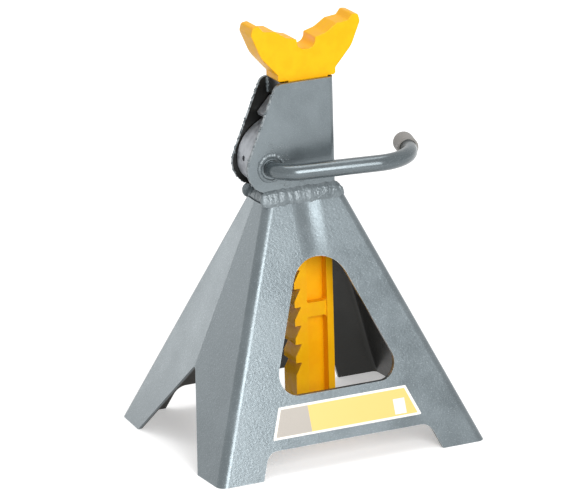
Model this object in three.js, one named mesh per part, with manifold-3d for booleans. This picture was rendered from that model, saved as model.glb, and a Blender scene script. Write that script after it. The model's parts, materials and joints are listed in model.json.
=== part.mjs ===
// Ratchet jack stand: two pressed steel panels make a four-legged base, a channel column is
// welded into its mouth, and a toothed bar with a two-horned saddle slides in the column.
// A pawl on a bent handle rod holds the bar tooth by tooth.
// Millimetres. X runs along the front edge, Y away from the front, Z up, ground at Z = 0.
import * as THREE from 'three';
import { mergeVertices } from 'three/addons/utils/BufferGeometryUtils.js';
import Module from 'manifold-3d';

const wasm = await Module();
wasm.setup();

// ---------------------------------------------------------------- driving sizes
const GAP = 0.3;                  // between welded, pressed or resting pieces
const SHEET = 4;                  // base and column sheet

const BASE_HALF_WIDTH = 140;      // corner of the footprint, along X
const BASE_HALF_DEPTH = 119;      // corner of the footprint, along Y
const BASE_HEIGHT = 237;          // mouth of the base
const BEND_RADIUS = 9;            // outside of the pressed corners
const BEND_SEGMENTS = 8;
const RIDGE_SLOPE = 0.054;        // each side flange leans out by this much towards the seam
const FOOT_LENGTH = 45.5;         // front and rear faces of a leg at the ground
const FOOT_RETURN = 46.7;         // side flange of a leg at the ground
const ARCH_HEIGHT = 24.2;
const ARCH_RADIUS = 13;
const SIDE_CUT_HEIGHT = 83;       // inverted V between two legs
const SIDE_CUT_RADIUS = 4;
const WINDOW_MARGIN = 42.5;       // from the pressed corner line to the window's side
const WINDOW_SILL = 68.5;
const WINDOW_SILL_RADIUS = 18;
const WINDOW_TOP_RADIUS = 30;

const RIM_MARGIN_X = 7;           // rim of the mouth, out from the column's sides
const RIM_MARGIN_Y = 4.7;         // and from its front and rear faces

const COLUMN_HALF_DEPTH = 19.5;
const COLUMN_RIGHT = 35;          // outside of the closed wall
const COLUMN_TOP = 353.5;
const COLUMN_INSERT = 6;          // how far the column stands inside the mouth
const COLUMN_BEND = 6;

const ROD_RADIUS = 8;
const ROD_CLEARANCE = 0.35;
const PIVOT_X = -33;
const PIVOT_ABOVE_MOUTH = 35.7;
const EAR_RADIUS = 24.5;
const CHEEK_TOP_LEFT = -25.3;     // where the sloping cheek edge would meet the column's top
const CHEEK_TOP_RADIUS = 9;

const BAR_HALF_THICKNESS = 14;
const BAR_WIDTH = 41;             // tooth tips to back
const TOOTH_PITCH = 18.7;
const TOOTH_DEPTH = 6.6;
const TOOTH_FLAT = 6.5;           // upright tip of a tooth
const TOOTH_COUNT = 15;
const BAR_BOTTOM = 5;
const SADDLE_HALF_SPAN = 57;
const SADDLE_HEIGHT = 57;
const SADDLE_OFFSET = -1;         // saddle's middle, from the middle of the shank

// ---------------------------------------------------------------- worked-out sizes
const MOUTH_HALF_WIDTH = COLUMN_RIGHT + RIM_MARGIN_X;
const SLOPE_X = (BASE_HALF_WIDTH - MOUTH_HALF_WIDTH) / BASE_HEIGHT;
const MOUTH_HALF_DEPTH = COLUMN_HALF_DEPTH + RIM_MARGIN_Y;
const SLOPE_Y = (BASE_HALF_DEPTH - MOUTH_HALF_DEPTH) / BASE_HEIGHT;
const PANEL_WALL = SHEET * Math.hypot(1, (SLOPE_X + SLOPE_Y) / 2);   // measured level
const FACE_LEAN = Math.atan(SLOPE_Y);

const COLUMN_FOOT = BASE_HEIGHT - COLUMN_INSERT;
const COLUMN_INNER = COLUMN_HALF_DEPTH - SHEET;
const PIVOT_Z = BASE_HEIGHT + PIVOT_ABOVE_MOUTH;
const BORE_RADIUS = ROD_RADIUS + ROD_CLEARANCE;

const BAR_RIGHT = COLUMN_RIGHT - SHEET - 0.4;
const TOOTH_TIP_X = BAR_RIGHT - BAR_WIDTH;
const TOOTH_ROOT_X = TOOTH_TIP_X + TOOTH_DEPTH;
const SADDLE_BOTTOM = COLUMN_TOP + GAP;
const LATCHED_TOOTH_Z = COLUMN_TOP - 20;     // underside of the tooth that the pawl holds
const LOWEST_TOOTH_Z = LATCHED_TOOTH_Z - (TOOTH_COUNT - 1) * TOOTH_PITCH;

// ---------------------------------------------------------------- shape helpers
const v2 = (x, y) => new THREE.Vector2(x, y);
const v3 = (x, y, z) => new THREE.Vector3(x, y, z);

// Closed outline from corners [x, y, radius]; a corner with a radius becomes a tangent arc.
function roundedShape(corners) {
  const shape = new THREE.Shape();
  corners.forEach(([x, y, radius = 0], i) => {
    const here = v2(x, y);
    const before = v2(...corners.at(i - 1)).sub(here).normalize();
    const after = v2(...corners[(i + 1) % corners.length]).sub(here).normalize();
    const draw = i === 0 ? 'moveTo' : 'lineTo';
    if (radius === 0) {
      shape[draw](x, y);
      return;
    }
    const half = Math.acos(THREE.MathUtils.clamp(before.dot(after), -1, 1)) / 2;
    const start = here.clone().addScaledVector(before, radius / Math.tan(half));
    const end = here.clone().addScaledVector(after, radius / Math.tan(half));
    const middle = before.add(after).normalize();
    const centre = here.clone().addScaledVector(middle, radius / Math.sin(half));
    const clockwise = start.clone().sub(centre).cross(end.clone().sub(centre)) < 0;
    shape[draw](start.x, start.y);
    shape.absarc(centre.x, centre.y, radius, start.sub(centre).angle(),
      end.sub(centre).angle(), clockwise);
  });
  return shape;
}

// The outline's points, without the doubled ones that a line and an arc can share.
function outlinePoints(shape, curveSegments) {
  const points = shape.extractPoints(curveSegments).shape;
  return points.filter((point, i) => point.distanceTo(points.at(i - 1)) > 1e-6);
}

// Each plane names where the outline's x, the outline's y and the depth point.
const PLANES = {
  XY: [v3(1, 0, 0), v3(0, 1, 0), v3(0, 0, 1)],
  XZ: [v3(1, 0, 0), v3(0, 0, 1), v3(0, -1, 0)],
  YZ: [v3(0, 1, 0), v3(0, 0, 1), v3(1, 0, 0)],
};

function extrude(shape, plane, from, to, options = {}) {
  const depth = Math.abs(to - from);
  const settings = { depth, bevelEnabled: false, curveSegments: 4, steps: 1, ...options };
  const bevel = settings.bevelEnabled ? settings.bevelThickness : 0;
  settings.depth = depth - 2 * bevel;
  const geometry = new THREE.ExtrudeGeometry(shape, settings);
  geometry.translate(0, 0, bevel);
  geometry.applyMatrix4(new THREE.Matrix4().makeBasis(...PLANES[plane]));
  const start = PLANES[plane][2].clone().multiplyScalar(plane === 'XZ' ? -Math.max(from, to)
    : Math.min(from, to));
  return geometry.translate(start.x, start.y, start.z);
}

function box(x0, x1, y0, y1, z0, z1) {
  const geometry = new THREE.BoxGeometry(x1 - x0, y1 - y0, z1 - z0);
  return geometry.translate((x0 + x1) / 2, (y0 + y1) / 2, (z0 + z1) / 2);
}

// Round bar between two points.
function bar(from, to, radius, segments = 24) {
  const along = to.clone().sub(from);
  const geometry = new THREE.CylinderGeometry(radius, radius, along.length(), segments);
  const turn = new THREE.Quaternion().setFromUnitVectors(v3(0, 1, 0), along.clone().normalize());
  geometry.applyQuaternion(turn);
  const middle = from.clone().add(to).multiplyScalar(0.5);
  return geometry.translate(middle.x, middle.y, middle.z);
}

function solid(geometry) {
  const bare = geometry.clone();
  bare.deleteAttribute('normal');
  bare.deleteAttribute('uv');
  const merged = mergeVertices(bare, 1e-4);
  return new wasm.Manifold(new wasm.Mesh({
    numProp: 3,
    vertProperties: new Float32Array(merged.attributes.position.array),
    triVerts: new Uint32Array(merged.index.array),
  }));
}

const cut = (from, ...tools) => tools.reduce((body, tool) => body.subtract(tool), from);
const join = (...bodies) => bodies.reduce((all, body) => all.add(body));

function geometryOf(body) {
  const mesh = body.getMesh();
  const geometry = new THREE.BufferGeometry();
  geometry.setAttribute('position', new THREE.BufferAttribute(mesh.vertProperties, 3));
  geometry.setIndex(new THREE.BufferAttribute(mesh.triVerts, 1));
  geometry.computeVertexNormals();
  return geometry;
}

// ---------------------------------------------------------------- base
const halfWidthAt = (z) => BASE_HALF_WIDTH - SLOPE_X * z;
const halfDepthAt = (z) => BASE_HALF_DEPTH - SLOPE_Y * z;
const ridgeAt = (z) => halfWidthAt(z) + RIDGE_SLOPE * halfDepthAt(z);

function footprint(z, inset) {
  const w = halfWidthAt(z) - inset;
  const d = halfDepthAt(z) - inset;
  const ridge = w + RIDGE_SLOPE * d;
  const radius = Math.max(BEND_RADIUS - inset, 1);
  return roundedShape([
    [w, -d, radius], [ridge, 0], [w, d, radius], [-w, d, radius], [-ridge, 0], [-w, -d, radius],
  ]);
}

// Tapering block inside the base's outer faces, moved in by the inset (out, when negative).
function baseBlock(inset, z0, z1) {
  const low = outlinePoints(footprint(z0, inset), BEND_SEGMENTS);
  const high = outlinePoints(footprint(z1, inset), BEND_SEGMENTS);
  const geometry = extrude(new THREE.Shape(low), 'XY', z0, z1);
  const position = geometry.attributes.position;
  for (let i = 0; i < position.count; i += 1) {
    if (position.getZ(i) > (z0 + z1) / 2) {
      const here = v2(position.getX(i), position.getY(i));
      const at = low.findIndex((point) => point.distanceTo(here) < 1e-3);
      position.setXY(i, high[at].x, high[at].y);
    }
  }
  return solid(geometry);
}

const windowHalfAt = (z) => halfWidthAt(z) - WINDOW_MARGIN;

function windowShape() {
  const apex = (BASE_HALF_WIDTH - WINDOW_MARGIN) / SLOPE_X;
  const sill = windowHalfAt(WINDOW_SILL);
  return roundedShape([
    [-sill, WINDOW_SILL, WINDOW_SILL_RADIUS],
    [sill, WINDOW_SILL, WINDOW_SILL_RADIUS],
    [0, apex, WINDOW_TOP_RADIUS],
  ]);
}

function archShape() {
  const below = -10;
  const halfAt = (z) => halfWidthAt(z) - FOOT_LENGTH;
  return roundedShape([
    [-halfAt(below), below], [halfAt(below), below],
    [halfAt(ARCH_HEIGHT), ARCH_HEIGHT, ARCH_RADIUS],
    [-halfAt(ARCH_HEIGHT), ARCH_HEIGHT, ARCH_RADIUS],
  ]);
}

function sideCutShape() {
  const below = -10;
  const foot = BASE_HALF_DEPTH - FOOT_RETURN;
  const reach = foot * (SIDE_CUT_HEIGHT - below) / SIDE_CUT_HEIGHT;
  return roundedShape([[-reach, below], [reach, below], [0, SIDE_CUT_HEIGHT, SIDE_CUT_RADIUS]]);
}

function basePanel(side) {
  const over = 10;
  const far = 2 * BASE_HALF_WIDTH;
  const shell = cut(baseBlock(0, 0, BASE_HEIGHT), baseBlock(PANEL_WALL, -over, BASE_HEIGHT + over));
  const [y0, y1] = side < 0 ? [-far, -GAP / 2] : [GAP / 2, far];
  const half = shell.intersect(solid(box(-far, far, y0, y1, -over, BASE_HEIGHT + over)));
  return cut(half,
    solid(extrude(windowShape(), 'XZ', -far, far, { curveSegments: 8 })),
    solid(extrude(archShape(), 'XZ', -far, far, { curveSegments: 6 })),
    solid(extrude(sideCutShape(), 'YZ', -far, far)));
}

// Bead inside the base, along the ridge where the two panels meet: the outside stays clean.
function seamWeld(side) {
  const radius = 3.4;
  const low = SIDE_CUT_HEIGHT + 3;
  const high = COLUMN_FOOT - 4;
  const at = (z) => v3(side * (ridgeAt(z) - PANEL_WALL), 0, z);
  return solid(bar(at(low), at(high), radius, 16)).intersect(
    baseBlock(PANEL_WALL + GAP, 0, BASE_HEIGHT));
}

// ---------------------------------------------------------------- column
function channelSection() {
  const left = PIVOT_X - 2 * EAR_RADIUS;
  const innerRight = COLUMN_RIGHT - SHEET;
  const innerBend = COLUMN_BEND - SHEET;
  return roundedShape([
    [left, -COLUMN_HALF_DEPTH], [COLUMN_RIGHT, -COLUMN_HALF_DEPTH, COLUMN_BEND],
    [COLUMN_RIGHT, COLUMN_HALF_DEPTH, COLUMN_BEND], [left, COLUMN_HALF_DEPTH],
    [left, COLUMN_INNER], [innerRight, COLUMN_INNER, innerBend],
    [innerRight, -COLUMN_INNER, innerBend], [left, -COLUMN_INNER],
  ]);
}

// Cheek seen from the front: upright right side, sloping left edge and a round ear at the pivot.
function cheekShape() {
  const fromPivot = v2(CHEEK_TOP_LEFT - PIVOT_X, COLUMN_TOP - PIVOT_Z);
  const lean = Math.atan2(fromPivot.x, fromPivot.y) + Math.asin(EAR_RADIUS / fromPivot.length());
  const tangentX = PIVOT_X - EAR_RADIUS * Math.cos(lean);
  const tangentZ = PIVOT_Z + EAR_RADIUS * Math.sin(lean);
  return roundedShape([
    [tangentX, tangentZ], [-COLUMN_RIGHT, PIVOT_Z], [-COLUMN_RIGHT, COLUMN_FOOT],
    [COLUMN_RIGHT, COLUMN_FOOT], [COLUMN_RIGHT, COLUMN_TOP],
    [CHEEK_TOP_LEFT, COLUMN_TOP, CHEEK_TOP_RADIUS],
  ]);
}

function columnChannel() {
  const section = extrude(channelSection(), 'XY', COLUMN_FOOT, COLUMN_TOP,
    { curveSegments: BEND_SEGMENTS });
  const reach = COLUMN_HALF_DEPTH + 5;
  const ear = bar(v3(PIVOT_X, -reach, PIVOT_Z), v3(PIVOT_X, reach, PIVOT_Z), EAR_RADIUS, 48);
  const outline = join(solid(extrude(cheekShape(), 'XZ', -reach, reach)), solid(ear));
  const bore = bar(v3(PIVOT_X, -reach, PIVOT_Z), v3(PIVOT_X, reach, PIVOT_Z), BORE_RADIUS, 32);
  return cut(solid(section).intersect(outline), solid(bore));
}

const WALL_PLATE_LEFT = TOOTH_TIP_X - 8.1;
const WALL_PLATES = {             // lower and upper edge of each
  upper: [COLUMN_TOP - 16.5, COLUMN_TOP - GAP],
  lower: [BASE_HEIGHT + 3, BASE_HEIGHT + 16],
};

// Short plate that closes the column's open side between the cheeks.
function wallPlate(level) {
  const [z0, z1] = WALL_PLATES[level];
  const reach = COLUMN_INNER - GAP;
  return solid(box(WALL_PLATE_LEFT, WALL_PLATE_LEFT + SHEET, -reach, reach, z0, z1));
}

// Corner bead between a wall plate and one cheek.
function plateWeld(level, side) {
  const radius = 3;
  const [z0, z1] = WALL_PLATES[level];
  const y = side * (COLUMN_INNER - 1);
  const bead = bar(v3(WALL_PLATE_LEFT, y, z0 + 1), v3(WALL_PLATE_LEFT, y, z1 - 1), radius, 16);
  const beyondPlate = box(WALL_PLATE_LEFT - GAP, 0, -COLUMN_RIGHT, COLUMN_RIGHT, 0, COLUMN_TOP);
  const cheek = side < 0
    ? box(-COLUMN_RIGHT, 0, -COLUMN_RIGHT, -COLUMN_INNER + GAP, 0, COLUMN_TOP)
    : box(-COLUMN_RIGHT, 0, COLUMN_INNER - GAP, COLUMN_RIGHT, 0, COLUMN_TOP);
  return cut(solid(bead), solid(beyondPlate), solid(cheek));
}

// Heavy bead on the base's mouth: it fills the corner between the rim and the column's face.
function mouthBead(from, to, { halfWidth, halfHeight }) {
  const geometry = bar(from, to, halfHeight, 20);
  const middle = from.clone().add(to).multiplyScalar(0.5);
  const alongX = Math.abs(to.x - from.x) > Math.abs(to.y - from.y);
  const squash = halfWidth / halfHeight;
  geometry.translate(-middle.x, -middle.y, -middle.z);
  geometry.scale(alongX ? 1 : squash, alongX ? squash : 1, 1);
  geometry.translate(middle.x, middle.y, middle.z);
  return geometry;
}

const FACE_BEAD = { halfWidth: 5.5, halfHeight: 8.5, above: 6 };
const SIDE_BEAD = { halfWidth: 5, halfHeight: 7, above: 4 };

// The left bead lies in the open side, between the ends of the front and rear ones.

function mouthWeld(which) {
  const y = COLUMN_HALF_DEPTH + 1;
  const x = COLUMN_RIGHT + 2.5;
  const reach = COLUMN_HALF_DEPTH - 1;
  const within = COLUMN_INNER - 1;
  const size = which === 'right' || which === 'left' ? SIDE_BEAD : FACE_BEAD;
  const z = BASE_HEIGHT + size.above;
  const ends = {
    front: [v3(-MOUTH_HALF_WIDTH, -y, z), v3(COLUMN_RIGHT, -y, z)],
    rear: [v3(-MOUTH_HALF_WIDTH, y, z), v3(COLUMN_RIGHT, y, z)],
    right: [v3(x, -reach, z), v3(x, reach, z)],
    left: [v3(-x, -within, z), v3(-x, within, z)],
  };
  const block = box(-COLUMN_RIGHT - GAP, COLUMN_RIGHT + GAP, -COLUMN_HALF_DEPTH - GAP,
    COLUMN_HALF_DEPTH + GAP, 0, COLUMN_TOP);
  return cut(solid(mouthBead(...ends[which], size)), solid(block), earKeepOut(),
    baseBlock(-GAP, 0, BASE_HEIGHT + GAP));
}

// Room round the ears and between them, so that a mouth bead stops short of both cheeks.
function earKeepOut() {
  const reach = COLUMN_HALF_DEPTH + GAP;
  return solid(bar(v3(PIVOT_X, -reach, PIVOT_Z), v3(PIVOT_X, reach, PIVOT_Z),
    EAR_RADIUS + GAP, 48));
}

// ---------------------------------------------------------------- ratchet bar
// Toothed left edge: flat undersides, upright tips, then a slope back to the next root.
function barShape() {
  const shape = new THREE.Shape();
  shape.moveTo(BAR_RIGHT, BAR_BOTTOM);
  shape.lineTo(BAR_RIGHT, SADDLE_BOTTOM + 10);
  shape.lineTo(TOOTH_TIP_X, SADDLE_BOTTOM + 10);
  for (let i = TOOTH_COUNT - 1; i >= 0; i -= 1) {
    const underside = LOWEST_TOOTH_Z + i * TOOTH_PITCH;
    if (i < TOOTH_COUNT - 1) {
      shape.lineTo(TOOTH_TIP_X, underside + TOOTH_FLAT);
    }
    shape.lineTo(TOOTH_TIP_X, underside);
    shape.lineTo(TOOTH_ROOT_X, underside);
  }
  shape.lineTo(TOOTH_TIP_X, LOWEST_TOOTH_Z - TOOTH_PITCH + TOOTH_FLAT);
  shape.lineTo(TOOTH_TIP_X, BAR_BOTTOM);
  return shape;
}

// Half of the saddle's outline from its middle out, as shares of the half span and the height:
// groove, cradle, shelf, horn, outer curve and neck.
const SADDLE_SIDE = [
  [0.165, 0.51, 8], [0.165, 0.69, 1.5], [0.36, 0.745, 12], [0.56, 0.875, 4], [0.77, 0.9, 3],
  [0.85, 1, 2.5], [0.965, 0.985, 3], [1, 0.86, 6], [0.833, 0.46, 30],
  [0.605, 0.2, 4], [0.53, 0.12, 3], [0.53, 0.03, 0], [0.5, 0, 0],
];

function saddleShape() {
  const middle = (TOOTH_TIP_X + BAR_RIGHT) / 2 + SADDLE_OFFSET;
  const place = (side) => ([span, share, radius]) => (
    [middle + side * span * SADDLE_HALF_SPAN, SADDLE_BOTTOM + share * SADDLE_HEIGHT, radius]);
  return roundedShape([...SADDLE_SIDE.map(place(1)), ...SADDLE_SIDE.map(place(-1)).reverse()]);
}

function ratchetBar() {
  const half = BAR_HALF_THICKNESS;
  const round = 1.2;
  const bevel = { bevelEnabled: true, bevelThickness: round, bevelSize: round,
    bevelOffset: -round, bevelSegments: 2, curveSegments: 3 };
  const saddle = solid(extrude(saddleShape(), 'XZ', -half, half, bevel));
  const shank = solid(extrude(barShape(), 'XZ', -half, half));
  return cut(join(saddle, shank), ...recesses(), solid(stopPinRod(GAP / 2)));
}

// Deep pockets in both faces leave a thin web, two flanges and low cross ribs between them.
const RIB_LEVELS = [BAR_BOTTOM + 111, BAR_BOTTOM + 227];
const RIB_HEIGHT = 14;
const RIB_SUNK = 1.5;             // ribs stand this far below the bar's faces
const RECESS_FOOT = 16;           // solid metal below the pockets
const RECESS_HEAD = 12;           // pockets end this far below the column's top
const FLANGE_WIDTH = 6.6;
const WEB_HALF = 3.5;

function recesses() {
  const left = TOOTH_ROOT_X + FLANGE_WIDTH;
  const right = BAR_RIGHT - FLANGE_WIDTH;
  const bottom = BAR_BOTTOM + RECESS_FOOT;
  const top = COLUMN_TOP - RECESS_HEAD;
  const beyond = BAR_HALF_THICKNESS + 6;
  const edges = [bottom, ...RIB_LEVELS.flatMap((z) => [z, z + RIB_HEIGHT]), top];
  const tools = [];
  for (const side of [-1, 1]) {
    const rib = side * (BAR_HALF_THICKNESS - RIB_SUNK);
    tools.push(pocket(left, right, bottom, top, rib, side * beyond));
    for (let i = 0; i < edges.length; i += 2) {
      tools.push(pocket(left, right, edges[i], edges[i + 1], side * WEB_HALF, side * beyond));
    }
  }
  return tools;
}

function pocket(x0, x1, z0, z1, y0, y1) {
  const radius = 3;
  const shape = roundedShape([[x0, z0, radius], [x1, z0, radius], [x1, z1, radius],
    [x0, z1, radius]]);
  return solid(extrude(shape, 'XZ', y0, y1));
}

// Cross pin near the bar's foot: it meets the lower wall plate when the bar is fully up.
// The bar rises by whole teeth, as many as its length below the plate allows.
const STOP_PIN_RADIUS = 3;
const STOP_PIN_DEPTH = 16;        // set into the bar's toothed edge
const STOP_PIN_RAISED = WALL_PLATES.lower[0] - GAP - STOP_PIN_RADIUS;
const STOP_PIN_LOWEST = BAR_BOTTOM + 2 * STOP_PIN_RADIUS;
const TRAVEL_STEPS = Math.floor((STOP_PIN_RAISED - STOP_PIN_LOWEST) / TOOTH_PITCH);
const STOP_PIN_Z = STOP_PIN_RAISED - TRAVEL_STEPS * TOOTH_PITCH;

function stopPinRod(grow) {
  const outer = WALL_PLATE_LEFT + 1.5;
  const inner = TOOTH_TIP_X + STOP_PIN_DEPTH + grow;
  return bar(v3(outer, 0, STOP_PIN_Z), v3(inner, 0, STOP_PIN_Z), STOP_PIN_RADIUS + grow, 20);
}

// ---------------------------------------------------------------- pawl and handle
// The nose is a wedge under the latched tooth; its top is struck from the pivot, so that it
// leaves the tooth without lifting the bar.
const PAWL_HALF_WIDTH = 14;
const PAWL_HUB_RADIUS = 18;
const PAWL_BACK_RADIUS = 20.5;
const NOSE_WIDTH = 12;            // across the top of the nose
const NOSE_CLEARANCE = 0.6;       // to the slope of the tooth below
const NOTCH = [[-21, -13], [-20, -16], [-12.5, -16], [-16, -20]];  // from the held tooth's tip

function pawlShape() {
  const tip = v2(TOOTH_TIP_X - PIVOT_X, LATCHED_TOOTH_Z - PIVOT_Z);
  const noseRadius = tip.length() - GAP;
  const flank = v2(TOOTH_DEPTH, TOOTH_PITCH - TOOTH_FLAT).normalize();
  const flankFoot = v2(tip.x - NOSE_CLEARANCE, tip.y - TOOTH_PITCH + TOOTH_FLAT);
  const along = flankFoot.dot(flank);
  const reach = Math.sqrt(along ** 2 - flankFoot.lengthSq() + noseRadius ** 2) - along;
  const nose = flankFoot.clone().addScaledVector(flank, reach);
  const crownAngle = Math.acos((nose.x - NOSE_WIDTH) / noseRadius);
  const [back, hub] = [PAWL_BACK_RADIUS, PAWL_HUB_RADIUS];
  const shape = new THREE.Shape();
  shape.moveTo(nose.x, nose.y);
  shape.absarc(0, 0, noseRadius, nose.angle(), crownAngle, false);
  NOTCH.forEach(([x, y]) => shape.lineTo(tip.x + x, tip.y + y));
  shape.quadraticCurveTo(-back, 0.45 * tip.y, -back, 0.2 * hub);
  shape.quadraticCurveTo(-back, -0.5 * hub, -0.66 * hub, -0.86 * hub);
  shape.quadraticCurveTo(0, -1.2 * hub, 0.66 * hub, -0.74 * hub);
  shape.quadraticCurveTo(1.05 * hub, -0.3 * hub, hub, 0.35 * hub);
  shape.lineTo(flankFoot.x - NOSE_CLEARANCE, flankFoot.y - 8);
  shape.lineTo(flankFoot.x, flankFoot.y);
  return shape;
}

// The roll pin runs from the pawl's back through the rod.
const ROLL_PIN_RADIUS = 2.5;
const ROLL_PIN_ANGLE = THREE.MathUtils.degToRad(158.6);
const ROLL_PIN_INNER = -14;       // along its own line, from the rod's middle
const ROLL_PIN_OUTER = 18.5;

function rollPinRod(from, to, grow) {
  const at = (r) => v3(PIVOT_X + r * Math.cos(ROLL_PIN_ANGLE), 0,
    PIVOT_Z + r * Math.sin(ROLL_PIN_ANGLE));
  return bar(at(from), at(to), ROLL_PIN_RADIUS + grow, 16);
}

const rollPin = () => solid(rollPinRod(ROLL_PIN_INNER, ROLL_PIN_OUTER, 0));
const rollPinBore = () => solid(
  rollPinRod(ROLL_PIN_INNER - GAP, ROLL_PIN_OUTER + PAWL_HUB_RADIUS, GAP / 2));

function pawl() {
  const half = PAWL_HALF_WIDTH;
  const body = extrude(pawlShape(), 'XZ', -half, half, { curveSegments: 10 })
    .translate(PIVOT_X, 0, PIVOT_Z);
  const reach = 2 * half;
  const bore = bar(v3(PIVOT_X, -reach, PIVOT_Z), v3(PIVOT_X, reach, PIVOT_Z), BORE_RADIUS, 32);
  return cut(solid(body), solid(bore), rollPinBore());
}

// The rod leaves the front cheek, turns to the right, crosses the column and turns back.
const ROD_OUT = 2.4;              // straight beyond the front cheek
const ROD_BEHIND = 4;             // beyond the rear cheek
const FIRST_BEND = { radius: 22, angle: THREE.MathUtils.degToRad(82) };
const LAST_BEND = { radius: 42, angle: THREE.MathUtils.degToRad(84) };
const ROD_RUN = 78;               // straight between the bends
const ROD_RETURN = 22;            // straight beyond the last bend

// Ends of the rod's stretches in plan, with the heading of the last one.
function rodRoute() {
  const along = (from, heading, length) => from.clone().add(
    v2(Math.cos(heading), Math.sin(heading)).multiplyScalar(length));
  const bendCentre = (from, heading, radius) => along(from, heading + Math.PI / 2, radius);
  const start = v2(PIVOT_X, COLUMN_HALF_DEPTH + ROD_BEHIND);
  const first = v2(PIVOT_X, -COLUMN_HALF_DEPTH - ROD_OUT);
  let heading = -Math.PI / 2;
  const firstCentre = bendCentre(first, heading, FIRST_BEND.radius);
  heading += FIRST_BEND.angle;
  const runStart = along(firstCentre, heading - Math.PI / 2, FIRST_BEND.radius);
  const runEnd = along(runStart, heading, ROD_RUN);
  const lastCentre = bendCentre(runEnd, heading, LAST_BEND.radius);
  const lastHeading = heading + LAST_BEND.angle;
  const returnStart = along(lastCentre, lastHeading - Math.PI / 2, LAST_BEND.radius);
  const end = along(returnStart, lastHeading, ROD_RETURN);
  return { start, first, firstCentre, heading, runEnd, lastCentre, lastHeading, returnStart, end };
}

function rodSolid() {
  const route = rodRoute();
  const quarter = Math.PI / 2;
  const path = new THREE.Path();
  path.moveTo(route.start.x, route.start.y);
  path.lineTo(route.first.x, route.first.y);
  path.absarc(route.firstCentre.x, route.firstCentre.y, FIRST_BEND.radius, -2 * quarter,
    route.heading - quarter, false);
  path.lineTo(route.runEnd.x, route.runEnd.y);
  path.absarc(route.lastCentre.x, route.lastCentre.y, LAST_BEND.radius, route.heading - quarter,
    route.lastHeading - quarter, false);
  path.lineTo(route.end.x, route.end.y);
  const steps = 70;
  const points = path.getSpacedPoints(steps).map((p) => v3(p.x, p.y, PIVOT_Z));
  const extrudePath = new THREE.CatmullRomCurve3(points);
  const section = new THREE.Shape().absarc(0, 0, ROD_RADIUS, 0, 2 * Math.PI, false);
  return solid(new THREE.ExtrudeGeometry(section, { steps, curveSegments: 12, extrudePath,
    bevelEnabled: false }));
}

const handleRod = () => cut(rodSolid(), rollPinBore());

// Vinyl cap pushed over the rod's end.
function handleEndCap() {
  const wall = 2;
  const inner = ROD_RADIUS + GAP;
  const outer = inner + wall;
  const depth = ROD_RETURN - 1;
  const length = depth + 3;
  const round = 2.5;
  const profile = [v2(0, depth), v2(inner, depth), v2(inner, 0), v2(outer, 0),
    v2(outer, length - round)];
  for (let i = 1; i <= 4; i += 1) {
    const turn = i * Math.PI / 8;
    profile.push(v2(outer - round + round * Math.cos(turn),
      length - round + round * Math.sin(turn)));
  }
  profile.push(v2(0, length));
  const { end, lastHeading } = rodRoute();
  const heading = v3(Math.cos(lastHeading), Math.sin(lastHeading), 0);
  const geometry = new THREE.LatheGeometry(profile, 32);
  geometry.translate(0, GAP - depth, 0);
  geometry.applyQuaternion(new THREE.Quaternion().setFromUnitVectors(v3(0, 1, 0), heading));
  return solid(geometry.translate(end.x, end.y, PIVOT_Z));
}

// ---------------------------------------------------------------- label
const LABEL = { low: 36, high: 66, margin: 48, thickness: 0.3 };   // heights along the sloping face

function labelSticker() {
  const halfAt = (height) => halfWidthAt(height * Math.cos(FACE_LEAN)) - LABEL.margin;
  const shape = roundedShape([
    [-halfAt(LABEL.low), LABEL.low, 1], [halfAt(LABEL.low), LABEL.low, 1],
    [halfAt(LABEL.high), LABEL.high, 1], [-halfAt(LABEL.high), LABEL.high, 1],
  ]);
  const geometry = new THREE.ExtrudeGeometry(shape,
    { depth: LABEL.thickness, bevelEnabled: false, curveSegments: 2 });
  const up = v3(0, Math.sin(FACE_LEAN), Math.cos(FACE_LEAN));
  const out = v3(0, -Math.cos(FACE_LEAN), Math.sin(FACE_LEAN));
  geometry.applyMatrix4(new THREE.Matrix4().makeBasis(v3(1, 0, 0), up, out));
  const lift = out.multiplyScalar(0.1);
  return solid(geometry.translate(0, -BASE_HALF_DEPTH + lift.y, lift.z));
}

// ---------------------------------------------------------------- assembly
const FINISHES = {
  enamel: { color: 0x878d92, roughness: 0.38, metalness: 0.35 },
  weld: { color: 0x7c8387, roughness: 0.5, metalness: 0.35 },
  yellow: { color: 0xf5b400, roughness: 0.42, metalness: 0.0 },
  castIron: { color: 0x8f9298, roughness: 0.55, metalness: 0.7 },
  spring: { color: 0x3a3a3c, roughness: 0.45, metalness: 0.85 },
  vinyl: { color: 0x8f8c88, roughness: 0.6, metalness: 0.0 },
  label: { color: 0xf2dc86, roughness: 0.45, metalness: 0.0 },
};

const group = new THREE.Group();
group.name = 'ratchet_jack_stand';

function add(name, body, finish) {
  const material = new THREE.MeshStandardMaterial(FINISHES[finish]);
  const mesh = new THREE.Mesh(geometryOf(body), material);
  mesh.name = name;
  group.add(mesh);
}

add('base_front_panel', basePanel(-1), 'enamel');
add('base_rear_panel', basePanel(1), 'enamel');
add('left_seam_weld', seamWeld(-1), 'weld');
add('right_seam_weld', seamWeld(1), 'weld');
add('column_channel', columnChannel(), 'enamel');
for (const which of ['front', 'rear', 'right', 'left']) {
  add(`${which}_mouth_weld`, mouthWeld(which), 'weld');
}
for (const level of ['upper', 'lower']) {
  add(`${level}_wall_plate`, wallPlate(level), 'enamel');
  add(`${level}_plate_front_weld`, plateWeld(level, -1), 'weld');
  add(`${level}_plate_rear_weld`, plateWeld(level, 1), 'weld');
}
add('ratchet_bar', ratchetBar(), 'yellow');
add('bar_stop_pin', solid(stopPinRod(0)), 'spring');
add('pawl', pawl(), 'castIron');
add('pawl_roll_pin', rollPin(), 'spring');
add('handle_rod', handleRod(), 'enamel');
add('handle_end_cap', handleEndCap(), 'vinyl');
add('label_sticker', labelSticker(), 'label');

export default group;
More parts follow.
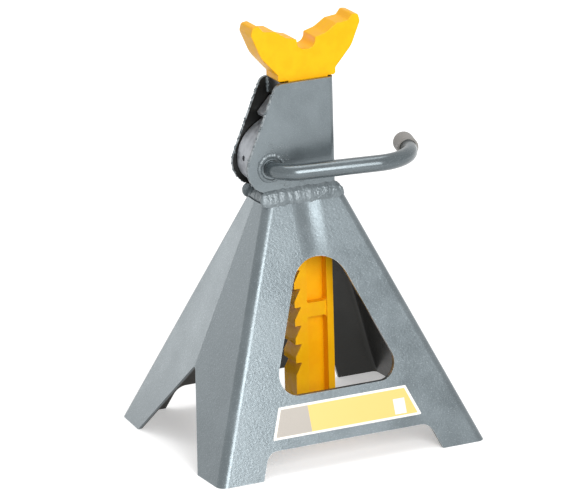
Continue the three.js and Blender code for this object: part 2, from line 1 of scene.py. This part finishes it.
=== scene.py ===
# Ratchet jack stand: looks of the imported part. Metres, in the CAD frame: X to the right along the
# front edge, Y away from the front, Z up, ground at Z = 0.
import json
import math
import random

import bpy
from mathutils import Matrix, Vector


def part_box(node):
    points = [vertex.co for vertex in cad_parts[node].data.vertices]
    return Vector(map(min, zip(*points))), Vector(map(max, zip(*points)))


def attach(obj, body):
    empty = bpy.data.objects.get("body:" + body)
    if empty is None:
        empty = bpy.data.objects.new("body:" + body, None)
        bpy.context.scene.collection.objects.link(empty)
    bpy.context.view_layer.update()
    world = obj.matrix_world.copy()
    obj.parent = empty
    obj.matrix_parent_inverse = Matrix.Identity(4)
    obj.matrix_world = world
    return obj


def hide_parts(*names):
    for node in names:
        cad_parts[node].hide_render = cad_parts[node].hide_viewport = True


MM = 0.001

# Sizes of the stand that its boxes don't give.
SHEET = 4 * MM                    # base and column sheet
RIM_MARGIN_X = 7 * MM             # rim of the base's mouth, out from the column's sides
RIM_MARGIN_Y = 4.7 * MM           # and from its front and rear faces
RIDGE_SLOPE = 0.054               # lean of each side flange towards the seam
FOOT_RETURN = 46.7 * MM           # side flange of a leg at the ground
CHEEK_TOP_LEFT = -25.3 * MM       # where the sloping cheek edge meets the column's top

# Weld ripples: length along the bead, width across it and height.
FACE_RIPPLE = (7.5 * MM, 3.3 * MM, 9.4 * MM)
SIDE_RIPPLE = (3.8 * MM, 3.3 * MM, 7 * MM)
SEAM_RIPPLE = (2.2 * MM, 2.9 * MM, 2.2 * MM)
PLATE_RIPPLE = (1.7 * MM, 2.4 * MM, 2.4 * MM)
EAR_RING_RADIUS = 12.4 * MM
EAR_RING_DROPS = 34

# Each weld draws its unevenness from a seed of its own.
FACE_SEED = 11
SIDE_SEED = 21
SEAM_SEED = 31
PLATE_SEED = 41
RING_SEED = 51
SLAG_SEED = 61
SPATTER_SEED = {"front": 71, "rear": 72}

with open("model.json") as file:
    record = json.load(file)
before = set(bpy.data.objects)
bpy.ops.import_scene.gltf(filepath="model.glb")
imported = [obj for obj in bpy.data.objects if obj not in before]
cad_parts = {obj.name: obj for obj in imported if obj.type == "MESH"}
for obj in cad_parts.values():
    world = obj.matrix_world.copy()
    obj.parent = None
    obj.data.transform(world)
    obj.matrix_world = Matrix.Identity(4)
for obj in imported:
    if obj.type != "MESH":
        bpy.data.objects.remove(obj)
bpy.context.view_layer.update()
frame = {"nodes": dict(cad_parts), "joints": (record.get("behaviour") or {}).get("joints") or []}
nodes = frame["nodes"]
bpy.ops.object.select_all(action="DESELECT")


# ---------------------------------------------------------------- places taken from the frame
def span(name):
    """Lowest corner, highest corner and middle of a CAD node."""
    low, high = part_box(name)
    return low, high, (low + high) / 2


column_low, column_high, _ = span("column_channel")
base_low, base_high, _ = span("base_front_panel")
label_low, label_high, _ = span("label_sticker")

pivot = Vector(frame["joints"][1]["pos_m"])
cheek_y = column_high.y
column_top = column_high.z
column_right = column_high.x
mouth_z = base_high.z
corner_x = base_high.x - RIDGE_SLOPE * FOOT_RETURN
mouth_x = column_right + RIM_MARGIN_X
mouth_y = cheek_y + RIM_MARGIN_Y
ear_radius = pivot.x - column_low.x


# ---------------------------------------------------------------- materials
def linear(hex_colour):
    """sRGB hex colour as linear RGBA."""
    channels = [int(hex_colour[i:i + 2], 16) / 255 for i in (1, 3, 5)]
    return [c / 12.92 if c <= 0.04045 else ((c + 0.055) / 1.055) ** 2.4 for c in channels] + [1]


def add(tree, kind, inputs, **settings):
    """A node with its settings; an input takes a value or another node's output."""
    made = tree.nodes.new(kind)
    for key, value in settings.items():
        setattr(made, key, value)
    for key, value in inputs.items():
        if isinstance(value, bpy.types.NodeSocket):
            tree.links.new(value, made.inputs[key])
        else:
            made.inputs[key].default_value = value
    return made


def start(name):
    """An empty material with its shader, its output and the object's own coordinates."""
    material = bpy.data.materials.new(name)
    material.use_nodes = True
    tree = material.node_tree
    tree.nodes.clear()
    shader = add(tree, "ShaderNodeBsdfPrincipled", {})
    add(tree, "ShaderNodeOutputMaterial", {"Surface": shader.outputs["BSDF"]})
    place = add(tree, "ShaderNodeTexCoord", {}).outputs["Object"]
    return material, tree, shader, place


def noise(tree, place, grain, detail=3.0, roughness=0.5):
    """Noise whose lumps are about the grain's size across."""
    return add(tree, "ShaderNodeTexNoise", {
        "Vector": place, "Scale": 1 / grain, "Detail": detail, "Roughness": roughness,
    }).outputs["Fac"]


def ramp(tree, value, low, high, out_low=0.0, out_high=1.0):
    """A smooth step from out_low at low to out_high at high."""
    return add(tree, "ShaderNodeMapRange", {
        0: value, 1: low, 2: high, 3: out_low, 4: out_high,
    }, interpolation_type="SMOOTHSTEP").outputs[0]


def blend_colour(tree, share, first, second):
    """Mix of two colours, each a hex string or another node's output."""
    pick = [linear(c) if isinstance(c, str) else c for c in (first, second)]
    return add(tree, "ShaderNodeMix", {0: share, 6: pick[0], 7: pick[1]},
               data_type="RGBA").outputs[2]


def sums(tree, operation, first, second):
    """One arithmetic step on two values."""
    return add(tree, "ShaderNodeMath", {0: first, 1: second}, operation=operation).outputs[0]


def edges(tree, radius):
    """1 on convex and concave edges within the radius, 0 on flat faces."""
    rounded = add(tree, "ShaderNodeBevel", {"Radius": radius}, samples=6).outputs["Normal"]
    flat = add(tree, "ShaderNodeNewGeometry", {}).outputs["Normal"]
    agree = add(tree, "ShaderNodeVectorMath", {0: rounded, 1: flat}, operation="DOT_PRODUCT")
    return ramp(tree, agree.outputs["Value"], 0.995, 0.86)


def bump(tree, layers, normal=None):
    """Stacked bumps: each layer is (height socket, depth in metres, strength)."""
    for height, depth, strength in layers:
        inputs = {"Height": height, "Distance": depth, "Strength": strength}
        if normal is not None:
            inputs["Normal"] = normal
        normal = add(tree, "ShaderNodeBump", inputs).outputs["Normal"]
    return normal


def base_inside_shade_mask(tree, place):
    """Mask for painted shade: 1 on the inner faces of the pressed panels, 0 on their outer ones."""
    axes = add(tree, "ShaderNodeSeparateXYZ", {"Vector": place}).outputs
    side = sums(tree, "ABSOLUTE", axes["X"], 0.0)
    depth = sums(tree, "ABSOLUTE", axes["Y"], 0.0)
    lean_x = (corner_x - mouth_x) / mouth_z
    lean_y = (-base_low.y - mouth_y) / mouth_z
    face = sums(tree, "ADD", depth, sums(tree, "MULTIPLY", axes["Z"], lean_y))
    face = sums(tree, "SUBTRACT", face, -base_low.y)
    flank = sums(tree, "ADD", side, sums(tree, "MULTIPLY", axes["Z"], lean_x))
    flank = sums(tree, "ADD", flank, sums(tree, "MULTIPLY", face, RIDGE_SLOPE))
    flank = sums(tree, "SUBTRACT", flank, corner_x)
    return ramp(tree, sums(tree, "MAXIMUM", face, flank), -2.8 * MM, -3.6 * MM)


def column_inside_shade_mask(tree, place):
    """Mask for painted shade: 1 on the faces between the column's cheeks."""
    axes = add(tree, "ShaderNodeSeparateXYZ", {"Vector": place}).outputs
    depth = sums(tree, "ABSOLUTE", axes["Y"], 0.0)
    shaded_hollow = ramp(tree, depth, cheek_y - 3 * MM, cheek_y - 3.6 * MM)
    return sums(tree, "MULTIPLY", shaded_hollow,
                ramp(tree, axes["X"], column_right - 2 * MM, column_right - 3.6 * MM))


def dimple(tree, place):
    """Height of the shallow upright crease that pressing leaves above each window."""
    axes = add(tree, "ShaderNodeSeparateXYZ", {"Vector": place}).outputs
    across = ramp(tree, sums(tree, "ABSOLUTE", axes["X"], 0.0), 0.0, 16 * MM)
    fade = ramp(tree, axes["Z"], mouth_z - 62 * MM, mouth_z - 12 * MM)
    return sums(tree, "MULTIPLY", sums(tree, "SUBTRACT", across, 1.0), fade)


def enamel_surface(name, lit, shaded, grain, peel_depth, rough, metallic, inside=None,
                   pressed=False):
    """Sprayed grey enamel with aluminium flake: orange peel, mottling, thin paint on edges, and
    painted shade (#3a3a38) where an inside mask is given.
    """
    material, tree, shader, place = start(name)
    peel = noise(tree, place, grain, 2.0)
    fine = noise(tree, place, grain * 0.4, 2.0)
    cloud = noise(tree, place, 38 * MM, 4.0, 0.6)
    colour = blend_colour(tree, ramp(tree, cloud, 0.35, 0.65), shaded, lit)
    speck = ramp(tree, fine, 0.56, 0.68, 0.0, 0.3)
    colour = blend_colour(tree, speck, colour, "#a9b0b4")
    worn = sums(tree, "MULTIPLY", edges(tree, 0.9 * MM), ramp(tree, cloud, 0.3, 0.6, 0.1, 0.5))
    colour = blend_colour(tree, worn, colour, "#b4babd")
    # Painted shade: the faces that the inside mask picks (the base's inner faces, the gap between
    # the column's cheeks) are darkened to #3a3a38.
    if inside:
        colour = blend_colour(tree, inside(tree, place), colour, "#3a3a38")
    shader.inputs["Metallic"].default_value = metallic
    shader.inputs["Coat Weight"].default_value = 0.3
    shader.inputs["Coat Roughness"].default_value = 0.2
    tree.links.new(colour, shader.inputs["Base Color"])
    tree.links.new(ramp(tree, cloud, 0.3, 0.7, rough - 0.05, rough + 0.07),
                   shader.inputs["Roughness"])
    layers = [(peel, peel_depth, 0.8), (fine, peel_depth * 0.35, 0.5), (cloud, 0.5 * MM, 0.35)]
    if pressed:
        layers.insert(0, (dimple(tree, place), 1.6 * MM, 1.0))
    tree.links.new(bump(tree, layers), shader.inputs["Normal"])
    return material


def yellow_paint():
    """Sprayed yellow over sand-cast ductile iron: grainy skin, painted shade darkening the pockets.
    """
    material, tree, shader, place = start("yellow_paint_on_cast_iron")
    sand = noise(tree, place, 1.1 * MM, 4.0, 0.65)
    swell = noise(tree, place, 9 * MM, 2.0)
    colour = blend_colour(tree, ramp(tree, swell, 0.3, 0.7), "#fbb400", "#fdbb00")
    # Painted shade: the colour darkens towards #e09508 where ambient occlusion finds pockets and
    # recesses.
    shaded_hollow = add(tree, "ShaderNodeAmbientOcclusion", {"Distance": 9 * MM}, samples=6)
    pocket_shade = ramp(tree, shaded_hollow.outputs["AO"], 0.6, 0.2, 0.0, 0.6)
    colour = blend_colour(tree, pocket_shade, colour, "#e09508")
    worn = sums(tree, "MULTIPLY", edges(tree, 0.8 * MM), ramp(tree, sand, 0.45, 0.6, 0.0, 0.55))
    colour = blend_colour(tree, worn, colour, "#ffd650")
    shader.inputs["Specular IOR Level"].default_value = 0.2
    tree.links.new(colour, shader.inputs["Base Color"])
    tree.links.new(ramp(tree, swell, 0.3, 0.7, 0.34, 0.46), shader.inputs["Roughness"])
    tree.links.new(bump(tree, [(swell, 0.5 * MM, 0.4), (sand, 0.12 * MM, 0.7)]),
                   shader.inputs["Normal"])
    return material


def bare_metal(name, light, dark, grain, rough, metallic):
    """Cast or rolled steel without paint: fine grit, oily patches, brighter edges."""
    material, tree, shader, place = start(name)
    grit = noise(tree, place, grain, 4.0, 0.6)
    patch = noise(tree, place, 7 * MM, 3.0)
    colour = blend_colour(tree, ramp(tree, patch, 0.3, 0.7), dark, light)
    worn = sums(tree, "MULTIPLY", edges(tree, 0.8 * MM), ramp(tree, grit, 0.4, 0.6, 0.1, 0.7))
    shader.inputs["Metallic"].default_value = metallic
    tree.links.new(blend_colour(tree, worn, colour, "#d5d8dc"), shader.inputs["Base Color"])
    tree.links.new(ramp(tree, patch, 0.3, 0.7, rough - 0.08, rough + 0.1),
                   shader.inputs["Roughness"])
    tree.links.new(bump(tree, [(grit, grain * 0.12, 0.7)]), shader.inputs["Normal"])
    return material


def vinyl():
    """Dipped grey vinyl: matt, slightly cloudy, with a fine pebble."""
    material, tree, shader, place = start("grey_dipped_vinyl")
    pebble = noise(tree, place, 0.7 * MM, 2.0)
    cloud = noise(tree, place, 6 * MM, 3.0)
    tree.links.new(blend_colour(tree, cloud, "#807d79", "#979490"), shader.inputs["Base Color"])
    tree.links.new(ramp(tree, cloud, 0.3, 0.7, 0.5, 0.65), shader.inputs["Roughness"])
    tree.links.new(bump(tree, [(pebble, 0.08 * MM, 0.6)]), shader.inputs["Normal"])
    return material


def label_film():
    """Printed film: white border, a grey block, a yellow field and one pale square, no words."""
    material, tree, shader, place = start("printed_label_film")
    axes = add(tree, "ShaderNodeSeparateXYZ", {"Vector": place}).outputs
    x, z = axes["X"], axes["Z"]
    height = label_high.z - label_low.z
    lean = 0.4
    soft = 0.25 * MM

    def between(value, low, high):
        above = ramp(tree, value, low - soft, low + soft)
        return sums(tree, "MULTIPLY", above, ramp(tree, value, high + soft, high - soft))

    side = sums(tree, "ADD", sums(tree, "ABSOLUTE", x, 0.0), sums(tree, "MULTIPLY", z, lean))
    side_end = label_high.x + lean * label_low.z
    inside = sums(tree, "MULTIPLY",
                  between(z, label_low.z + 2.2 * MM, label_high.z - 2.2 * MM),
                  between(side, -1.0, side_end - 2.6 * MM))
    block = sums(tree, "MULTIPLY", inside, between(x, -1.0, -37 * MM))
    square = sums(tree, "MULTIPLY", between(x, 51 * MM, 63 * MM),
                  between(z, label_low.z + 0.13 * height, label_low.z + 0.62 * height))
    colour = blend_colour(tree, inside, "#f3f2ee", "#eccb74")
    colour = blend_colour(tree, block, colour, "#b5aea5")
    colour = blend_colour(tree, square, colour, "#e6e6ee")
    shader.inputs["Coat Weight"].default_value = 0.3
    shader.inputs["Coat Roughness"].default_value = 0.3
    ripple = noise(tree, place, 12 * MM, 2.0)
    tree.links.new(colour, shader.inputs["Base Color"])
    tree.links.new(ramp(tree, ripple, 0.3, 0.7, 0.34, 0.46), shader.inputs["Roughness"])
    tree.links.new(bump(tree, [(ripple, 0.3 * MM, 0.3)]), shader.inputs["Normal"])
    return material


ENAMEL = enamel_surface("grey_hammered_enamel", "#727b7f", "#6a7377", 2.6 * MM, 0.2 * MM,
                        0.36, 0.85, base_inside_shade_mask, True)
SMOOTH_ENAMEL = enamel_surface("grey_smooth_enamel", "#727b7f", "#6b7478", 1.4 * MM,
                               0.03 * MM, 0.33, 0.7, column_inside_shade_mask)
ROD_ENAMEL = enamel_surface("grey_gloss_enamel_on_rod", "#5d666a", "#576064", 1.8 * MM,
                            0.03 * MM, 0.2, 0.6)
WELD_ENAMEL = enamel_surface("grey_enamel_over_weld", "#727b7f", "#5b6468", 1.0 * MM,
                             0.06 * MM, 0.4, 0.45)
YELLOW = yellow_paint()
CAST_IRON = bare_metal("oiled_cast_iron", "#a9adb2", "#868a90", 0.9 * MM, 0.42, 0.55)
SPRING_STEEL = bare_metal("dark_spring_steel", "#4a4a4d", "#303033", 0.6 * MM, 0.4, 0.85)
VINYL = vinyl()
LABEL = label_film()


# ---------------------------------------------------------------- finishing helpers
def finish(name, material, width=0.0):
    """A CAD node's surface: clean faces, edges rounded to the width, and its material."""
    piece = nodes[name]
    piece.data.materials.clear()
    piece.data.materials.append(material)
    weld = piece.modifiers.new("merge", "WELD")
    weld.merge_threshold = 0.01 * MM
    if width:
        planar = piece.modifiers.new("planar", "DECIMATE")
        planar.decimate_type = "DISSOLVE"
        planar.angle_limit = math.radians(2)
        bevel = piece.modifiers.new("rounded_edges", "BEVEL")
        bevel.width = width
        bevel.segments = 3
        bevel.limit_method = "ANGLE"
        bevel.angle_limit = math.radians(38)
        bevel.use_clamp_overlap = True
    else:
        split = piece.modifiers.new("sharp_edges", "EDGE_SPLIT")
        split.split_angle = math.radians(40)
    for polygon in piece.data.polygons:
        polygon.use_smooth = True
    even = piece.modifiers.new("even_shading", "WEIGHTED_NORMAL")
    even.keep_sharp = True


def pick(piece):
    """Makes one object the only selected and active one."""
    bpy.ops.object.select_all(action="DESELECT")
    piece.select_set(True)
    bpy.context.view_layer.objects.active = piece


def apply_all(piece):
    """Applies the piece's place and its modifiers."""
    pick(piece)
    bpy.ops.object.transform_apply(location=True, rotation=True, scale=True)
    for modifier in list(piece.modifiers):
        bpy.ops.object.modifier_apply(modifier=modifier.name)


def clone_at(template, places):
    """Copies of a template, one at each matrix, joined into one object."""
    copies = []
    for place in places:
        copy = template.copy()
        copy.data = template.data.copy()
        copy.matrix_world = place
        bpy.context.scene.collection.objects.link(copy)
        copies.append(copy)
    bpy.data.objects.remove(template)
    bpy.ops.object.select_all(action="DESELECT")
    for copy in copies:
        copy.select_set(True)
    bpy.context.view_layer.objects.active = copies[0]
    bpy.ops.object.transform_apply(location=True, rotation=True, scale=True)
    bpy.ops.object.join()
    return copies[0]


def droplet(subdivisions=2):
    """A ball of radius 1, ready to be squashed into a weld ripple or a spatter drop."""
    bpy.ops.mesh.primitive_ico_sphere_add(subdivisions=subdivisions, radius=1)
    return bpy.context.object


def fuse(piece, voxel, lump, lump_size):
    """Melts overlapping drops into one skin and roughens it."""
    remesh = piece.modifiers.new("melt", "REMESH")
    remesh.mode = "VOXEL"
    remesh.voxel_size = voxel
    smooth = piece.modifiers.new("flow", "SMOOTH")
    smooth.factor = 0.5
    smooth.iterations = 2
    clouds = bpy.data.textures.new(piece.name + "_lumps", "CLOUDS")
    clouds.noise_scale = lump_size
    rough = piece.modifiers.new("lumps", "DISPLACE")
    rough.texture = clouds
    rough.texture_coords = "LOCAL"
    rough.strength = lump
    rough.mid_level = 0.5
    apply_all(piece)


def dress(piece, name, material, slot, body, *replaced):
    """Name, material, body and the CAD nodes that a finished piece stands for; the slot argument is
    not used.
    """
    piece.name = name
    piece.data.name = name
    piece.data.materials.clear()
    piece.data.materials.append(material)
    pick(piece)
    bpy.ops.object.shade_smooth()
    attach(piece, body)
    if replaced:
        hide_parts(*replaced)
    return piece


# ---------------------------------------------------------------- welds
def ripples(start_point, end_point, size, step, jitter, seed, lean):
    """Places of overlapping weld ripples along a line; size is along, across and up."""
    draw = random.Random(seed)
    line = end_point - start_point
    count = max(2, round(line.length / step))
    turn = Vector((1, 0, 0)).rotation_difference(line.normalized()).to_matrix().to_4x4()
    places = []
    for i in range(count + 1):
        at = start_point.lerp(end_point, i / count)
        at = at + Vector(draw.uniform(-jitter, jitter) for _ in range(3))
        grow = draw.uniform(0.86, 1.06)
        tilt = Matrix.Rotation(lean, 4, "X") @ Matrix.Rotation(draw.uniform(-0.3, 0.3), 4, "Y")
        places.append(Matrix.Translation(at) @ turn @ tilt
                      @ Matrix.Diagonal(Vector(size) * grow).to_4x4())
    return places


def weld_bead(name, start_point, end_point, size, step, jitter, seed, replaced,
              voxel=0.6 * MM, lean=0.0):
    """One painted weld bead between two points, in place of the CAD node that it stands for."""
    bead = clone_at(droplet(), ripples(start_point, end_point, size, step, jitter, seed, lean))
    fuse(bead, voxel, 0.6 * MM, 1.6 * MM)
    return dress(bead, name, WELD_ENAMEL, "painted_weld", "stand", replaced)


def mouth_beads():
    """The four beads that join the column's foot to the base's mouth."""
    reach_x = (-column_right - 5 * MM, column_right - 3 * MM)
    for side, where in ((-1, "front"), (1, "rear")):
        y = side * (cheek_y + 1.3 * MM)
        z = mouth_z + 5.6 * MM
        weld_bead(f"{where}_mouth_bead", Vector((reach_x[0], y, z)), Vector((reach_x[1], y, z)),
                  FACE_RIPPLE, 1.6 * MM, 0.22 * MM, FACE_SEED + side,
                  f"{where}_mouth_weld", lean=side * math.radians(17))
    z = mouth_z + 3.6 * MM
    for side, where in ((-1, "left"), (1, "right")):
        x = side * (column_right + 2.9 * MM)
        weld_bead(f"{where}_mouth_bead", Vector((x, -cheek_y, z)), Vector((x, cheek_y, z)),
                  SIDE_RIPPLE, 1.9 * MM, 0.35 * MM, SIDE_SEED + side,
                  f"{where}_mouth_weld", lean=-side * math.radians(20))


def seam_beads():
    """The beads inside the two seams where the base panels meet."""
    for side in ("left", "right"):
        low, high, middle = span(f"{side}_seam_weld")
        sign = math.copysign(1, middle.x)
        outer, inner = (high.x, low.x) if sign > 0 else (low.x, high.x)
        bottom = Vector((outer - sign * 1.6 * MM, 0, low.z + 2 * MM))
        top = Vector((inner + sign * 1.6 * MM, 0, high.z - 2 * MM))
        weld_bead(f"{side}_seam_bead", bottom, top, SEAM_RIPPLE, 2.2 * MM, 0.2 * MM,
                  SEAM_SEED + int(sign), f"{side}_seam_weld")


def plate_beads():
    """The upright beads that hold the two wall plates between the cheeks."""
    seed = PLATE_SEED
    for level in ("upper", "lower"):
        for end in ("front", "rear"):
            node = f"{level}_plate_{end}_weld"
            low, high, _ = span(node)
            sign = -1 if end == "front" else 1
            corner = Vector((high.x, sign * (cheek_y - 4.6 * MM), 0))
            weld_bead(f"{level}_plate_{end}_bead", corner + Vector((0, 0, low.z + 1 * MM)),
                      corner + Vector((0, 0, high.z - 1 * MM)), PLATE_RIPPLE,
                      1.8 * MM, 0.25 * MM, seed, node, 0.5 * MM)
            seed += 1


def ear_rings():
    """A low ring of weld on each cheek, round the rod's bore."""
    for side, where in ((-1, "front"), (1, "rear")):
        draw = random.Random(RING_SEED + side)
        places = []
        for i in range(EAR_RING_DROPS):
            turn = 2 * math.pi * i / EAR_RING_DROPS
            heavy = 1 + 0.28 * math.cos(turn - math.radians(130))
            at = pivot + Matrix.Rotation(-turn, 3, "Y") @ Vector((EAR_RING_RADIUS, 0, 0))
            at.y = side * cheek_y + draw.uniform(-0.25, 0.25) * MM
            shape = Vector((2.3 * heavy, 1.5 * heavy, 1.9)) * MM * draw.uniform(0.85, 1.12)
            places.append(Matrix.Translation(at) @ Matrix.Rotation(-turn, 4, "Y")
                          @ Matrix.Diagonal(shape).to_4x4())
        ring = clone_at(droplet(), places)
        fuse(ring, 0.55 * MM, 0.7 * MM, 1.6 * MM)
        dress(ring, f"{where}_ear_ring", WELD_ENAMEL, "painted_weld", "stand")


def cheek_edge_points():
    """Corners of a cheek's cut edge: top of the slope, its foot, and round the ear."""
    corner = Vector((CHEEK_TOP_LEFT, 0, column_top)) - pivot
    lean = math.atan2(corner.x, corner.z) + math.asin(ear_radius / corner.length)
    outward = Vector((-math.cos(lean), 0, math.sin(lean)))
    foot = pivot + outward * ear_radius
    top_z = column_top - 6 * MM
    top = Vector((foot.x + math.tan(lean) * (top_z - foot.z), 0, top_z))
    ear = [pivot + Matrix.Rotation(-math.radians(a), 3, "Y") @ outward * ear_radius
           for a in range(10, 100, 15)]
    return [top, foot, *ear]


def cheek_slag():
    """Cutting slag and spatter along the open edges of both cheeks."""
    line = cheek_edge_points()
    for side, where in ((-1, "front"), (1, "rear")):
        draw = random.Random(SLAG_SEED + side)
        places = []
        for first, second in zip(line, line[1:]):
            for _ in range(round((second - first).length / (1.15 * MM))):
                at = first.lerp(second, draw.random())
                at.y = side * (cheek_y - draw.random() * SHEET)
                size = draw.uniform(0.35, 1.0) ** 1.5 * 1.35 * MM
                shape = Vector((draw.uniform(0.7, 1.3), draw.uniform(0.7, 1.3), 1)) * size
                places.append(Matrix.Translation(at) @ Matrix.Diagonal(shape).to_4x4())
        slag = clone_at(droplet(), places)
        fuse(slag, 0.45 * MM, 0.5 * MM, 1.3 * MM)
        dress(slag, f"{where}_cheek_slag", WELD_ENAMEL, "painted_weld", "stand")


def spatter(name, centres, seed):
    """Drops thrown out by welding; each centre is (point, spread, count) on a face of the stand."""
    draw = random.Random(seed)
    places = []
    for point, spread, count in centres:
        for _ in range(count):
            turn = draw.uniform(0, 2 * math.pi)
            away = spread * draw.random() ** 0.8
            at = point + Vector((math.cos(turn) * away, 0, math.sin(turn) * away))
            if (at - pivot).xz.length < 15 * MM:
                continue
            size = draw.uniform(0.25, 0.8) * MM
            places.append(Matrix.Translation(at)
                          @ Matrix.Diagonal(Vector((size, size * 0.7, size))).to_4x4())
    drops = clone_at(droplet(1), places)
    dress(drops, name, WELD_ENAMEL, "painted_weld", "stand")


mouth_beads()
seam_beads()
plate_beads()
ear_rings()
cheek_slag()
for face, where in ((-cheek_y, "front"), (cheek_y, "rear")):
    spatter(f"{where}_cheek_spatter", [
        (Vector((pivot.x + 2 * MM, face, pivot.z + 12 * MM)), 17 * MM, 90),
        (Vector((pivot.x + 16 * MM, face, mouth_z + 20 * MM)), 16 * MM, 60),
        (Vector((column_right - 22 * MM, face, mouth_z + 19 * MM)), 16 * MM, 34),
    ], SPATTER_SEED[where])

# ---------------------------------------------------------------- finishes on the CAD nodes
for panel in ("base_front_panel", "base_rear_panel"):
    finish(panel, ENAMEL, 0.7 * MM)
finish("column_channel", SMOOTH_ENAMEL, 0.5 * MM)
for plate in ("upper_wall_plate", "lower_wall_plate"):
    finish(plate, SMOOTH_ENAMEL, 0.5 * MM)
finish("ratchet_bar", YELLOW, 0.7 * MM)
finish("bar_stop_pin", SPRING_STEEL, 0.3 * MM)
finish("pawl", CAST_IRON, 0.8 * MM)
finish("pawl_roll_pin", SPRING_STEEL, 0.25 * MM)
finish("handle_rod", ROD_ENAMEL)
finish("handle_end_cap", VINYL)
finish("label_sticker", LABEL)

# ---------------------------------------------------------------- camera
CAMERA_AZIMUTH = math.radians(-24.49)
CAMERA_ELEVATION = math.radians(17.51)
CAMERA_ROLL = math.radians(-1.554)
CAMERA_DISTANCE = 4.238
CAMERA_AIM = Vector((0, 0, 0.19))
CAMERA_LENS = 278.9
CAMERA_SHIFT = (-0.02054, -0.01482)


def make_camera():
    """A long lens from the front left, a little above, with a slight roll."""
    back = Vector((math.sin(CAMERA_AZIMUTH) * math.cos(CAMERA_ELEVATION),
                   -math.cos(CAMERA_AZIMUTH) * math.cos(CAMERA_ELEVATION),
                   math.sin(CAMERA_ELEVATION)))
    level = (-back).cross(Vector((0, 0, 1))).normalized()
    upright = level.cross(-back)
    right = math.cos(CAMERA_ROLL) * level + math.sin(CAMERA_ROLL) * upright
    up = -math.sin(CAMERA_ROLL) * level + math.cos(CAMERA_ROLL) * upright
    bpy.ops.object.camera_add()
    camera = bpy.context.object
    camera.name = "camera"
    turn = Matrix((right, up, back)).transposed()
    camera.matrix_world = Matrix.Translation(CAMERA_AIM + back * CAMERA_DISTANCE) @ turn.to_4x4()
    camera.data.sensor_width = 36
    camera.data.lens = CAMERA_LENS
    camera.data.shift_x, camera.data.shift_y = CAMERA_SHIFT
    camera.data.clip_end = 50
    bpy.context.scene.camera = camera


make_camera()


# ---------------------------------------------------------------- light, floor and backdrop
FLOOR_RADIUS = 12
FLOOR_GAP = 0.2 * MM              # keeps the floor's face clear of the feet
SKY_LEVEL = 0.5


def soft_light(name, place, aim, size, power):
    """A rectangular lamp at a place, turned to its aim, which the camera doesn't see."""
    bpy.ops.object.light_add(type="AREA", location=place)
    lamp = bpy.context.object
    lamp.name = name
    lamp.data.shape = "RECTANGLE"
    lamp.data.size, lamp.data.size_y = size
    lamp.data.energy = power
    lamp.visible_camera = False
    lamp.rotation_euler = (Vector(aim) - Vector(place)).to_track_quat("-Z", "Y").to_euler()


def seen_white(tree):
    """1 for the rays that see the backdrop: camera, glossy and transmission rays."""
    path = add(tree, "ShaderNodeLightPath", {}).outputs
    seen = sums(tree, "MAXIMUM", path["Is Camera Ray"], path["Is Glossy Ray"])
    return sums(tree, "MAXIMUM", seen, path["Is Transmission Ray"])


def make_world(level):
    """White to the rays that see it, and an even pale light of the given level otherwise."""
    world = bpy.data.worlds.new("pale_room")
    world.use_nodes = True
    tree = world.node_tree
    tree.nodes.clear()
    strength = sums(tree, "MULTIPLY_ADD", seen_white(tree), 1 - level)
    strength.node.inputs[2].default_value = level
    sky = add(tree, "ShaderNodeBackground", {"Color": (1, 1, 1, 1), "Strength": strength})
    add(tree, "ShaderNodeOutputWorld", {"Surface": sky.outputs[0]})
    bpy.context.scene.world = world


def make_floor():
    """A pale floor that keeps the stand's shadow and turns white away from it."""
    bpy.ops.mesh.primitive_circle_add(vertices=96, radius=FLOOR_RADIUS, fill_type="NGON",
                                      location=(0, 0, -FLOOR_GAP))
    floor = bpy.context.object
    floor.name = "studio_floor"
    material = bpy.data.materials.new("studio_floor")
    material.use_nodes = True
    tree = material.node_tree
    tree.nodes.clear()
    lit = add(tree, "ShaderNodeBsdfDiffuse", {"Color": (0.8, 0.8, 0.8, 1)}).outputs[0]
    place = add(tree, "ShaderNodeTexCoord", {}).outputs["Object"]
    away = add(tree, "ShaderNodeVectorMath", {0: place}, operation="LENGTH").outputs["Value"]
    level = ramp(tree, away, 0.3, 1.6, 0.42, 0.8)
    glow = add(tree, "ShaderNodeEmission", {
        "Color": (1, 1, 1, 1), "Strength": sums(tree, "MULTIPLY", seen_white(tree), level),
    }).outputs[0]
    both = add(tree, "ShaderNodeAddShader", {0: lit, 1: glow}).outputs[0]
    add(tree, "ShaderNodeOutputMaterial", {"Surface": both})
    floor.data.materials.append(material)


make_world(SKY_LEVEL)
make_floor()
soft_light("front_light", (-0.02, -0.85, 0.5), (-0.02, 0.0, 0.2), (0.46, 0.5), 5.4)
soft_light("rear_light", (-0.75, 1.5, 0.3), (0, 0, 0.2), (0.5, 0.8), 1.8)
soft_light("top_light", (0.1, 0.2, 2.2), (0, 0, 0), (1.4, 1.4), 16)

scene = bpy.context.scene
scene.view_settings.view_transform = "Standard"
